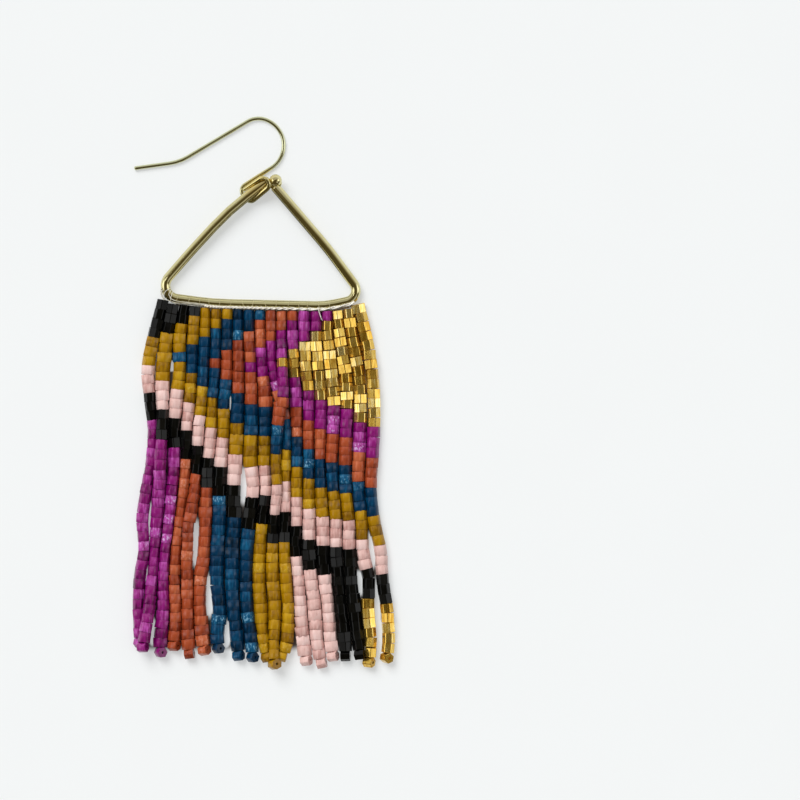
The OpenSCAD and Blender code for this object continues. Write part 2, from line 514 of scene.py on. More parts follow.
class BeadColor(Enum):
    """The colours of bead, in the order of the tails from left to right."""

    MAGENTA = GlassFinish(
        "beads_magenta", tone(134, 12, 108), tone(190, 84, 176), tone(78, 0, 60), streaks=1.2,
        glint=tone(220, 184, 230), glints=0.75,
    )
    RUST = GlassFinish(
        "beads_rust", tone(162, 70, 36), tone(196, 106, 66), tone(104, 32, 14),
        glint=tone(226, 160, 140), glints=0.45,
    )
    BLUE = GlassFinish(
        "beads_blue", tone(0, 50, 82), tone(20, 92, 130), tone(0, 24, 42), streaks=1.1, specular=0.15,
        coat=0.3, coat_roughness=0.03, glint=tone(128, 180, 206), glints=0.65,
    )
    MUSTARD = GlassFinish(
        "beads_mustard", tone(162, 118, 2), tone(194, 152, 26), tone(104, 68, 2), specular=0.2,
        glint=tone(224, 198, 100), glints=0.35,
    )
    PINK = GlassFinish(
        "beads_pink", tone(222, 184, 176), tone(236, 206, 200), tone(182, 132, 124), coat=0.15
    )
    BLACK = GlassFinish(
        "beads_black", tone(7, 7, 6), tone(14, 14, 13), tone(3, 3, 3), roughness=0.16, grain=0.05,
        streaks=1.7, specular=0.14, coat=0.08, coat_roughness=0.04, crisp=True,
    )
    GOLD = GlassFinish(
        "beads_gold", tone(229, 190, 86), tone(250, 228, 156), tone(192, 144, 38), roughness=0.22,
        grain=0.14, streaks=1.7, metallic=0.9, specular=0.5, coat=0.25, bump=0.012, crisp=True,
    )

    @property
    def slot(self) -> str:
        """The name of this colour's material."""
        return self.value.name


# Strings of each tail colour, left to right
TAIL_WIDTHS = {
    BeadColor.MAGENTA: 3, BeadColor.RUST: 3, BeadColor.BLUE: 3, BeadColor.MUSTARD: 3,
    BeadColor.PINK: 3, BeadColor.BLACK: 2, BeadColor.GOLD: 2,
}

WIRE_FINISH = MetalFinish(
    "ear_wire_gilding", tone(214, 216, 178), tone(188, 184, 134), tone(218, 202, 136)
)
FRAME_FINISH = MetalFinish(
    "frame_gilding", tone(220, 212, 162), tone(186, 170, 104), tone(220, 200, 134)
)
THREAD_FINISH = ThreadFinish("beading_thread", tone(254, 250, 238), tone(220, 208, 186))
# Painted shade: the ladder cord under the bar is a darker copy of the beading thread.
SHADED_LADDER_FINISH = ThreadFinish("ladder_thread", tone(196, 176, 140), tone(130, 106, 76))
FILAMENT_FINISH = ThreadFinish(
    "corner_thread", tone(236, 232, 218), tone(196, 188, 168), roughness=0.15
)
# Painted reflection: the wraps are clear thread, tinted gold for the gilded bar that they mirror.
WRAP_FINISH = ThreadFinish("wrap_thread", tone(200, 188, 142), tone(160, 146, 100), roughness=0.2)


def kept(mesh: bmesh.types.BMesh, name: str) -> bpy.types.Mesh:
    """Turns a drawn mesh into one that objects can hold.

    Args:
        mesh: The drawn mesh, which is freed.
        name: The new mesh's name.

    Returns:
        The new mesh.
    """
    data = bpy.data.meshes.new(name)
    mesh.to_mesh(data)
    mesh.free()
    return data


def placed(name: str, data: bpy.types.ID) -> bpy.types.Object:
    """Adds an object to the scene.

    Args:
        name: The object's name.
        data: Its mesh, light or camera.

    Returns:
        The object, at the origin.
    """
    made = bpy.data.objects.new(name, data)
    bpy.context.scene.collection.objects.link(made)
    return made


def shown(mesh: bmesh.types.BMesh, name: str, finishes: list[bpy.types.Material]) -> bpy.types.Object:
    """Turns a finished mesh in millimetres into a smoothly shaded piece of the scene.

    Args:
        mesh: The mesh, which is freed.
        name: The piece's name.
        finishes: Its materials.

    Returns:
        The piece, at the origin.
    """
    bmesh.ops.scale(mesh, vec=(MM, MM, MM), verts=mesh.verts)
    for face in mesh.faces:
        face.smooth = True
    data = kept(mesh, name)
    for finish in finishes:
        data.materials.append(finish)
    return placed(name, data)


def ends_of(geometry: list) -> tuple[list, list]:
    """The vertices and the open edges among what an operator made.

    Args:
        geometry: The operator's geometry.

    Returns:
        The vertices, and the edges with one face.
    """
    verts = [item for item in geometry if isinstance(item, bmesh.types.BMVert)]
    edges = [item for item in geometry if isinstance(item, bmesh.types.BMEdge)]
    return verts, [edge for edge in edges if len(edge.link_faces) < 2]


def first_ring(
    mesh: bmesh.types.BMesh, radius: float, sides: int, place: Vector, heading: Vector
) -> tuple[list, list]:
    """Makes the ring that a wire or a thread starts from.

    Args:
        mesh: The mesh that it joins.
        radius: Its radius.
        sides: How many sides it has.
        place: Its middle.
        heading: The direction that it faces.

    Returns:
        Its vertices and its edges.
    """
    ring = bmesh.ops.create_circle(mesh, radius=radius, segments=sides)["verts"]
    turn = heading.to_track_quat("Z", "Y").to_matrix().to_4x4()
    bmesh.ops.transform(mesh, matrix=Matrix.Translation(place) @ turn, verts=ring)
    return ring, list({edge for vert in ring for edge in vert.link_edges})


def sweep(
    mesh: bmesh.types.BMesh, points: list[Vector], radius: float, sides: int = 6, closed: bool = False
) -> None:
    """Draws a thin round thread through points, one ring to a point.

    Args:
        mesh: The mesh that it joins.
        points: The thread's centre line.
        radius: Its radius.
        sides: Sides of its section.
        closed: Whether its end meets its start.
    """
    count = len(points)
    headings = []
    for k in range(count):
        after = points[(k + 1) % count] if closed else points[min(k + 1, count - 1)]
        headings.append((after - points[k - 1 if closed else max(k - 1, 0)]).normalized())
    ring, start = first_ring(mesh, radius, sides, points[0], headings[0])
    edges, made = start, list(ring)
    for k in range(1, count):
        verts, edges = ends_of(bmesh.ops.extrude_edge_only(mesh, edges=edges)["geom"])
        swing = headings[k - 1].rotation_difference(headings[k]).to_matrix().to_4x4()
        move = Matrix.Translation(points[k]) @ swing @ Matrix.Translation(-points[k - 1])
        bmesh.ops.transform(mesh, matrix=move, verts=verts)
        made += verts
    if closed:
        made_faces = bmesh.ops.bridge_loops(mesh, edges=start + edges)["faces"]
    else:
        made_faces = bmesh.ops.edgeloop_fill(mesh, edges=start)["faces"]
        made_faces += bmesh.ops.edgeloop_fill(mesh, edges=edges)["faces"]
    faces = {face for vert in made for face in vert.link_faces} | set(made_faces)
    bmesh.ops.recalc_face_normals(mesh, faces=list(faces))


@dataclass(frozen=True)
class Corner:
    """A corner of a bent wire: its place and the radius of its bend."""

    x: float
    y: float
    z: float
    bend: float

    @property
    def place(self) -> Vector:
        """The corner as a point."""
        return Vector((self.x, self.y, self.z))


@dataclass
class BentWire:
    """A round wire that runs straight between corners and bends round them."""

    corners: list[Corner]
    diameter: float
    sides: int = 24
    bend_step: float = math.radians(7)
    tip_share: float = 0.42
    tip_segments: int = 4

    def heading(self, k: int) -> Vector:
        """Direction of the stretch that leaves corner k."""
        return (self.corners[k + 1].place - self.corners[k].place).normalized()

    def turn(self, k: int) -> float:
        """Angle of the bend at corner k."""
        return self.heading(k - 1).angle(self.heading(k))

    def setback(self, k: int) -> float:
        """Distance from corner k to either end of its bend.

        Args:
            k: The corner's number.

        Returns:
            The distance, which is 0 at the wire's tips.
        """
        if k in (0, len(self.corners) - 1):
            return 0.0
        return self.corners[k].bend * math.tan(self.turn(k) / 2)

    def bend_frame(self, k: int) -> tuple[Vector, Vector]:
        """Centre and axis of the bend at corner k.

        Args:
            k: The corner's number.

        Returns:
            The bend's centre, and the axis that it turns about.
        """
        into, out = self.heading(k - 1), self.heading(k)
        inward = (out - into * into.dot(out)).normalized()
        centre = self.corners[k].place - into * self.setback(k) + inward * self.corners[k].bend
        return centre, into.cross(out).normalized()

    def draw(self, mesh: bmesh.types.BMesh) -> None:
        """Extrudes and spins the wire's ring along its corners, then rounds its tips.

        Args:
            mesh: The mesh that it joins.
        """
        first = self.corners[0].place
        _, start = first_ring(mesh, self.diameter / 2, self.sides, first, self.heading(0))
        edges = start
        for k in range(len(self.corners) - 1):
            run = self.corners[k + 1].place - self.corners[k].place
            length = run.length - self.setback(k) - self.setback(k + 1)
            verts, edges = ends_of(bmesh.ops.extrude_edge_only(mesh, edges=edges)["geom"])
            bmesh.ops.translate(mesh, vec=run.normalized() * length, verts=verts)
            if k + 1 == len(self.corners) - 1:
                break
            centre, axis = self.bend_frame(k + 1)
            angle = self.turn(k + 1)
            steps = max(2, round(angle / self.bend_step))
            spun = bmesh.ops.spin(
                mesh, geom=verts + edges, cent=centre, axis=axis, angle=angle, steps=steps,
                use_merge=False,
            )
            verts, edges = ends_of(spun["geom_last"])
        for rim in (start, edges):
            bmesh.ops.edgeloop_fill(mesh, edges=rim)
            bmesh.ops.bevel(
                mesh, geom=rim, offset=self.diameter * self.tip_share, offset_type="OFFSET",
                affect="EDGES", segments=self.tip_segments, profile=0.5, material=-1,
            )
        bmesh.ops.recalc_face_normals(mesh, faces=mesh.faces)

    def centre_line(self, step: float) -> list[Vector]:
        """Points along the wire's middle.

        Args:
            step: Rough distance between them.

        Returns:
            The points.
        """
        line = [self.corners[0].place]
        for k in range(len(self.corners) - 1):
            start = self.corners[k].place + self.heading(k) * self.setback(k)
            end = self.corners[k + 1].place - self.heading(k) * self.setback(k + 1)
            pieces = max(1, round((end - start).length / step))
            line += [start.lerp(end, n / pieces) for n in range(1, pieces + 1)]
            if k + 1 == len(self.corners) - 1:
                break
            centre, axis = self.bend_frame(k + 1)
            angle = self.turn(k + 1)
            pieces = max(1, round(angle * self.corners[k + 1].bend / step))
            for n in range(1, pieces + 1):
                line.append(centre + Matrix.Rotation(angle * n / pieces, 3, axis) @ (end - centre))
        return line


def smoothed(points: list[Vector], pieces: int) -> list[Vector]:
    """A smooth line through points, with each stretch cut into pieces.

    Args:
        points: The points.
        pieces: How many pieces each stretch gets.

    Returns:
        The line's points.
    """
    before = [points[0] * 2 - points[1]] + points
    after = points[1:] + [points[-1] * 2 - points[-2]]
    drawn = [points[0].copy()]
    for k in range(len(points) - 1):
        p0, p1, p2, p3 = before[k], points[k], points[k + 1], after[k + 1]
        for n in range(1, pieces + 1):
            t = n / pieces
            drawn.append(
                0.5 * (2 * p1 + (p2 - p0) * t + (2 * p0 - 5 * p1 + 4 * p2 - p3) * t * t
                       + (3 * p1 - p0 - 3 * p2 + p3) * t ** 3)
            )
    return drawn


@dataclass
class Line:
    """A line through points, read by the distance along it."""

    points: list[Vector]
    reach: list[float] = field(init=False)

    def __post_init__(self) -> None:
        """Adds up the distances."""
        self.reach = [0.0]
        for before, after in zip(self.points, self.points[1:]):
            self.reach.append(self.reach[-1] + (after - before).length)

    @property
    def length(self) -> float:
        """The whole length."""
        return self.reach[-1]

    def at(self, distance: float) -> Vector:
        """The point at a distance from the start.

        Args:
            distance: The distance along the line.

        Returns:
            The point.
        """
        k = min(max(bisect_right(self.reach, distance), 1), len(self.points) - 1)
        share = (distance - self.reach[k - 1]) / (self.reach[k] - self.reach[k - 1])
        return self.points[k - 1].lerp(self.points[k], min(max(share, 0.0), 1.0))

    def beside(self, y: float) -> Vector | None:
        """The point where a line that runs down the picture passes a height.

        Args:
            y: The height in the picture.

        Returns:
            The point, or None where the line doesn't reach.
        """
        for before, after in zip(self.points, self.points[1:]):
            if before.y >= y > after.y:
                return before.lerp(after, (before.y - y) / (before.y - after.y))
        return None

    def heading(self, distance: float, spread: float = 0.4) -> Vector:
        """The direction at a distance from the start, over a short stretch round it."""
        low, high = max(0.0, distance - spread), min(self.length, distance + spread)
        return (self.at(high) - self.at(low)).normalized()


def polar(length: float, degrees: float) -> Vector:
    """A step of a length at an angle, on the floor."""
    angle = math.radians(degrees)
    return Vector((length * math.cos(angle), length * math.sin(angle)))


@dataclass
class EarWire:
    """The ear wire: tail, long arm, back, shank, and the eye that holds the frame."""

    wire_d: float = 0.74
    rest_z: float = 0.375
    top_z: float = 3.205
    end_z: float = 0.958
    eye_corner: tuple[float, float] = (-4.4, 37.5)
    shank_rise: float = 32.5
    back_rise: float = 160.0
    arm_rise: float = 30.75
    tail_rise: float = 8.0
    shank_len: float = 17.1
    back_len: float = 11.95
    arm_len: float = 16.4
    tail_len: float = 8.4
    eye_len: float = 5.2
    eye_w: float = 3.4
    eye_taper: float = 0.35
    eye_return: float = 0.72
    eye_return_len: float = 4.7
    eye_flat: float = 0.4
    eye_flat_power: float = 0.7
    tail_bend: float = 9.0
    top_bend: float = 3.9
    back_bend: float = 4.97
    eye_bend: float = 1.3
    return_bend: float = 1.1

    def along_shank(self, length: float, across: float) -> Vector:
        """Point of the eye or shank, by its distance along and across the shank."""
        start = Vector(self.eye_corner) + polar(length, self.shank_rise)
        return start + polar(across, self.shank_rise - 90)

    def route(self) -> list[Corner]:
        """Lays out the wire: flat on the floor up to the eye, whose far run goes over the frame.

        Returns:
            The wire's corners, from the tail's tip to the eye's cut end.
        """
        back = self.along_shank(self.shank_len, 0)
        top = back + polar(self.back_len, self.back_rise)
        bend = top - polar(self.arm_len, self.arm_rise)
        tip = bend - polar(self.tail_len, self.tail_rise)
        flat = [(tip, 0.0), (bend, self.tail_bend), (top, self.top_bend), (back, self.back_bend)]
        flat += [(self.along_shank(0, across), self.eye_bend) for across in (0, self.eye_w)]
        over = (self.eye_w - self.eye_taper, self.eye_return)
        raised = [(self.along_shank(self.eye_len, across), self.return_bend) for across in over]
        cut = self.along_shank(self.eye_len - self.eye_return_len, self.eye_return)
        corners = [Corner(p.x, p.y, self.rest_z, bend) for p, bend in flat]
        corners += [Corner(p.x, p.y, self.top_z, bend) for p, bend in raised]
        return corners + [Corner(cut.x, cut.y, self.end_z, 0.0)]

    def flatten_eye(self, mesh: bmesh.types.BMesh) -> None:
        """Widens the eye's lower run towards the frame, where the wire was pressed flat.

        Args:
            mesh: The drawn wire.
        """
        middle = self.eye_w - self.eye_taper / 2
        corner = Vector(self.eye_corner)
        inward = -polar(1.0, self.shank_rise - 90)
        for vert in mesh.verts:
            place = vert.co.xy - corner
            along, across = place.dot(polar(1.0, self.shank_rise)), -place.dot(inward)
            inner = (middle + self.wire_d / 2 - across) / self.wire_d
            if abs(across - middle) < self.wire_d and 0.0 < along < self.eye_len:
                swell = math.sin(math.pi * along / self.eye_len) ** self.eye_flat_power
                vert.co += (inward * self.eye_flat * swell * min(max(inner, 0.0), 1.0)).to_3d()

    def build(self) -> bpy.types.Object:
        """Builds and dresses the ear wire.

        Returns:
            The piece.
        """
        mesh = bmesh.new()
        BentWire(self.route(), self.wire_d).draw(mesh)
        self.flatten_eye(mesh)
        piece = shown(mesh, "ear_wire", [WIRE_FINISH.material()])
        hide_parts("ear_hook")
        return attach(piece, BODY)


# The flat frame's corners, from the lug down its left leg, along the bar and up
# its right leg: places and the radii of their bends
FRAME_CORNERS = (
    (1.3, 39.2, 0.0), (-6.2, 33.45, 50.0), (-13.3, 25.75, 120.0), (-20.15, 17.9, 2.4),
    (-9.2, 16.42, 50.0), (11.4, 15.93, 15.0), (18.6, 17.45, 2.1), (12.03, 26.35, 60.0),
    (1.95, 38.15, 0.0),
)


@dataclass
class TriangleFrame:
    """The triangular frame: bent wire, with a lug and a ball where its ends meet."""

    wire_d: float = 1.78
    bar_y: float = 15.9
    middle_z: float = 0.895
    lean: float = math.radians(2.6)
    lug_d: float = 2.5
    lug_h: float = 0.9
    lug_edge: float = 0.28
    lug_segments: int = 3
    lug_place: tuple[float, float, float] = (2.3, 38.5, 0.15)
    ball_d: float = 2.32
    ball_rings: int = 20
    ball_place: tuple[float, float, float] = (2.4, 38.9, 0.35)
    round_sides: int = 32
    bar_step: float = 0.25
    bar_rise: float = 5.5

    def leaned(self) -> Matrix:
        """Turns the flat frame to its lean, apex up, with its bar on the floor."""
        foot = Matrix.Translation((0, self.bar_y, self.middle_z))
        return foot @ Matrix.Rotation(self.lean, 4, "X") @ Matrix.Translation((0, -self.bar_y, 0))

    def wire(self) -> BentWire:
        """The frame's wire, lying flat."""
        return BentWire([Corner(x, y, 0.0, bend) for x, y, bend in FRAME_CORNERS], self.wire_d)

    def middle_of_bar(self) -> Line:
        """The middle of the wire, from the left corner round to the right one."""
        points = [self.leaned() @ point for point in self.wire().centre_line(self.bar_step)]
        return Line([point for point in points if point.y < self.bar_y + self.bar_rise])

    def build(self) -> bpy.types.Object:
        """Builds and dresses the frame.

        Returns:
            The piece.
        """
        mesh = bmesh.new()
        self.wire().draw(mesh)
        lug = bmesh.ops.create_cone(
            mesh, cap_ends=True, segments=self.round_sides, radius1=self.lug_d / 2,
            radius2=self.lug_d / 2, depth=self.lug_h, matrix=Matrix.Translation(self.lug_place),
        )["verts"]
        edges = {edge for vert in lug for edge in vert.link_edges}
        rims = [edge for edge in edges if len({vert.co.z for vert in edge.verts}) == 1]
        bmesh.ops.bevel(
            mesh, geom=rims, offset=self.lug_edge, offset_type="OFFSET", affect="EDGES",
            segments=self.lug_segments, profile=0.5, material=-1,
        )
        bmesh.ops.create_uvsphere(
            mesh, u_segments=self.round_sides, v_segments=self.ball_rings, radius=self.ball_d / 2,
            matrix=Matrix.Translation(self.ball_place),
        )
        bmesh.ops.recalc_face_normals(mesh, faces=mesh.faces)
        bmesh.ops.transform(mesh, matrix=self.leaned(), verts=mesh.verts)
        piece = shown(mesh, "frame_wire", [FRAME_FINISH.material()])
        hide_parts("triangle_frame")
        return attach(piece, BODY)


@dataclass
class CutBead:
    """A bead cut from a six-sided glass cane, drilled along its length."""

    across: float = 2.0
    length: float = 1.76
    edge: float = 0.07
    bore_share: float = 0.64
    sharp_angle: float = math.radians(38)
    flatness: float = 0.99
    sides: int = 6
    narrowest: float = 1.86
    fullest: float = 2.95
    outermost: float = 2.34
    height: float = 1.94

    def mesh(self, skew: float) -> bpy.types.Mesh:
        """Builds the bead round +Z, with its corners on the X axis.

        Args:
            skew: Slope of its cut ends.

        Returns:
            Its mesh, with how far along the bead each point is.
        """
        bead = bmesh.new()
        radius = self.across / 2
        bmesh.ops.create_cone(
            bead, cap_ends=True, segments=self.sides, radius1=radius, radius2=radius, depth=self.length
        )
        bmesh.ops.rotate(bead, verts=bead.verts, matrix=Matrix.Rotation(math.radians(90), 3, "Z"))
        bmesh.ops.bevel(
            bead, geom=list(bead.edges), offset=self.edge, offset_type="OFFSET", affect="EDGES",
            segments=1, profile=0.5, material=-1,
        )
        ends = [face for face in bead.faces if abs(face.normal.z) > self.flatness]
        caps = [face for face in ends if len(face.verts) == self.sides]
        bmesh.ops.inset_individual(bead, faces=caps, thickness=radius * self.bore_share)
        rims = list({edge for face in caps for edge in face.edges})
        bmesh.ops.delete(bead, geom=caps, context="FACES_ONLY")
        bmesh.ops.bridge_loops(bead, edges=rims)
        shear = Matrix.Identity(4)
        shear[2][0] = skew
        bmesh.ops.transform(bead, matrix=shear, verts=bead.verts)
        bmesh.ops.recalc_face_normals(bead, faces=bead.faces)
        for edge in bead.edges:
            edge.smooth = edge.calc_face_angle(0.0) < self.sharp_angle
        along = bead.verts.layers.float.new(BEAD_ALONG)
        for vert in bead.verts:
            share = (vert.co.z - skew * vert.co.x) / (self.length / 2)
            vert[along] = max(-1.0, min(1.0, share))
        return kept(bead, "cut_bead")


# The arrowheads' bands, from the inmost out. Above the row of their tips, all
# that lies outside the mustard is black.
ARROWHEADS = (
    BeadColor.GOLD, BeadColor.MAGENTA, BeadColor.RUST, BeadColor.BLUE, BeadColor.MUSTARD,
    BeadColor.PINK, BeadColor.BLACK,
)


@dataclass
class BeadPattern:
    """Nested arrowheads of colour that point left, counted in rows from the bar."""

    tip_row: int = 6
    band: int = 3
    gold_start: int = 12

    def color(self, number: int, row: int) -> BeadColor:
        """Colour of a bead.

        Args:
            number: The string's number, 1 at the left.
            row: The bead's number, 1 at the bar.

        Returns:
            Its colour.
        """
        depth = abs(row - self.tip_row)
        start = self.gold_start
        for shade in ARROWHEADS:
            if shade is BeadColor.PINK and row < self.tip_row:
                return BeadColor.BLACK
            if depth <= number - start:
                return shade
            start -= self.band
        return self.tail(number)

    @staticmethod
    def tail(number: int) -> BeadColor:
        """Colour at the foot of a string.

        Args:
            number: The string's number, 1 at the left.

        Returns:
            The colour.
        """
        last = 0
        for shade, width in TAIL_WIDTHS.items():
            last += width
            if number <= last:
                break
        return shade


# The strings, left to right. A row holds the length of a bead with its gap, the
# heights of the string's top and end, then how far the string strays to the side
# of its place on the bar: at its top, at eleven even stations, and at its end.
STRINGS = (
    (1.76, 16.9, -46.6, 0.4, -1.7, -2.6, -2.1, -1.5, -1.8, -2.8, -3.6, -3.2, -4.1, -4.2, -4.0, -3.9),
    (1.76, 16.1, -47.3, 0.2, -1.2, -1.8, -2.1, -2.0, -2.5, -2.6, -2.9, -3.3, -3.7, -4.6, -5.4, -5.2),
    (1.74, 16.0, -48.4, 0.2, -0.7, -0.5, -1.2, -1.7, -1.5, -2.0, -2.6, -3.4, -3.8, -3.6, -4.1, -4.2),
    (1.76, 15.7, -47.2, 0.1, -0.3, -0.6, -0.9, -1.4, -1.6, -2.1, -2.7, -3.4, -3.6, -3.5, -3.7, -3.7),
    (1.78, 15.5, -48.7, 0.0, -0.1, -0.3, -0.7, -1.4, -1.6, -2.0, -3.1, -3.4, -3.5, -3.3, -3.2, -2.8),
    (1.82, 15.3, -48.0, -0.1, -0.1, -0.3, -0.7, -0.9, -1.6, -1.9, -2.0, -2.3, -2.9, -3.0, -2.5, -2.0),
    (1.80, 15.3, -47.7, 0.0, -0.1, -0.1, -0.8, -0.8, -1.2, -1.5, -1.5, -1.9, -2.0, -1.5, -1.7, -1.5),
    (1.88, 15.2, -49.0, 0.0, 0.0, 0.1, 0.0, -0.3, -0.6, -0.8, -0.8, -1.1, -1.0, -0.7, -0.3, 0.2),
    (1.88, 15.1, -49.3, -0.1, 0.0, 0.3, 0.3, 0.5, 0.3, 0.8, 0.2, -0.4, -0.6, -0.5, 0.5, 0.7),
    (1.80, 15.0, -49.3, 0.0, 0.1, 0.5, 0.9, 0.9, 0.9, 1.1, 0.5, 0.0, -0.2, 0.2, 0.7, 1.5),
    (1.84, 15.0, -49.1, 0.0, 0.0, 0.4, 1.8, 2.8, 2.7, 2.6, 2.5, 2.5, 2.9, 3.3, 2.7, 1.8),
    (1.76, 14.9, -50.5, 0.0, -0.1, 0.1, 0.1, -0.6, -1.0, -0.8, -1.4, -1.7, -1.7, -1.3, -1.5, -1.2),
    (1.80, 14.9, -49.9, -0.1, -0.1, 0.2, 0.7, 0.7, 0.7, 0.7, 0.8, 0.5, 1.0, 1.3, 2.0, 2.6),
    (1.83, 14.9, -50.4, 0.0, 0.1, 0.5, 1.0, 0.9, 1.0, 0.9, 0.8, 0.8, 1.3, 2.1, 2.4, 3.5),
    (1.77, 14.8, -49.1, 0.3, 0.3, 0.7, 1.1, 1.0, 1.0, 1.2, 1.7, 1.7, 2.0, 2.6, 3.0, 3.5),
    (1.72, 14.9, -49.1, 0.3, 0.4, 1.0, 1.5, 1.4, 1.0, 1.4, 1.9, 1.9, 2.4, 2.8, 3.5, 3.7),
    (1.70, 15.0, -48.8, 0.2, 0.8, 1.7, 2.0, 1.8, 1.7, 1.7, 2.3, 2.4, 2.7, 3.3, 4.1, 4.4),
    (1.77, 15.3, -50.2, 0.1, 0.9, 1.9, 2.4, 2.3, 2.1, 2.1, 2.6, 2.9, 3.9, 3.8, 4.2, 3.9),
    (1.77, 16.2, -49.4, 0.0, 1.6, 2.5, 2.9, 2.9, 2.6, 2.3, 2.9, 4.1, 4.5, 5.3, 5.6, 5.1),
)

# Where a string climbs over its neighbour: its full heights above the floor at its
# top, stations and end, which each string's lift_share then lowers
LIFTS = {
    2: (0, 0, 0.0, 0.4, 1.2, 1.5, 0.6, 0.0, 0.0, 0.2, 1.2, 1.8, 1.4),
    5: (0, 0, 0.0, 0.0, 0.3, 0.0, 0.4, 1.1, 0.5, 0.0, 0.0, 0.0, 0.0),
    12: (0, 0, 1.4, 2.1, 1.7, 0.9, 1.3, 0.7, 0.0, 0.0, 0.0, 0.9, 1.5),
    17: (0, 0, 0.0, 0.0, 0.0, 0.0, 0.0, 0.0, 0.0, 0.0, 0.0, 0.3, 1.2),
}

# Where the floor shows between two neighbours: the left one's number, the heights
# where the gap begins and ends, and how wide a bead may be towards it
OPEN_GAPS = (
    (1, -20.2, -27.1, 2.44), (1, -32.0, -34.5, 2.5), (2, 5.9, 4.0, 2.8), (3, 3.2, 1.3, 2.3),
    (5, -23.5, -32.0, 2.44), (6, -33.7, -41.0, 2.44), (7, 0.5, -3.0, 2.7), (7, -42.0, -47.0, 2.44),
    (8, -14.0, -20.0, 2.6), (16, -11.0, -13.0, 2.5), (17, -32.5, -37.2, 2.44), (18, -25.5, -50.0, 2.44),
)

# How the last bead of each string lies: its bore's angle from straight up, and
# the turn of its corners, in degrees
STOPPERS = (
    (52, 10), (66, 20), (30, 4), (62, 20), (78, 0), (58, 24), (34, 0), (66, 12), (40, 8), (66, 0),
    (84, 20), (34, 26), (64, 14), (80, 4), (70, 26), (84, 30), (74, 8), (62, 18), (36, 28),
)


@dataclass
class BeadString:
    """One string of beads: its route and how its beads sit on it."""

    number: int
    spacing: float = 2.0
    middle_x: float = -0.5
    first_station: float = 9.7
    station_step: float = 5.5
    smoothing: int = 6
    stopper_room: float = 1.8
    floor_gap: float = 0.01
    fill: float = 1.03
    gold_fill: float = 0.985
    uneven: float = 0.07
    lift_share: float = 0.815
    tilt: float = math.radians(2.2)
    reach: float = 0.14

    @property
    def name(self) -> str:
        """The name of the string's node."""
        return f"bead_strand_{self.number:02d}"

    def stations(self) -> list[Vector]:
        """Works out the points that the string's route passes.

        Returns:
            Its top, stations and end, with the lift as their height.
        """
        _, top, end, *strays = STRINGS[self.number - 1]
        lifts = LIFTS.get(self.number, (0.0,) * len(strays))
        even = [self.first_station - k * self.station_step for k in range(len(strays) - 2)]
        place = self.middle_x + (self.number - (len(STRINGS) + 1) / 2) * self.spacing
        return [
            Vector((place + stray, y, lift * self.lift_share))
            for stray, y, lift in zip(strays, [top + self.reach, *even, end], lifts)
        ]

    def line(self) -> Line:
        """Draws the string's route.

        Returns:
            A smooth line through the stations, nowhere below the floor.
        """
        drawn = smoothed(self.stations(), self.smoothing)
        for point in drawn:
            point.z = max(0.0, point.z)
        return Line(drawn)

    def seat(self, line: Line, distance: float) -> Matrix:
        """Frame of a bead on the string.

        Args:
            line: The string's route.
            distance: How far along it the bead sits.

        Returns:
            The frame: X to the left, Y up, Z along the string.
        """
        along = line.heading(distance)
        side = along.cross(Vector((0, 0, 1))).normalized()
        up = side.cross(along)
        turn = Matrix((side, up, along)).transposed().to_4x4()
        return Matrix.Translation(line.at(distance)) @ turn


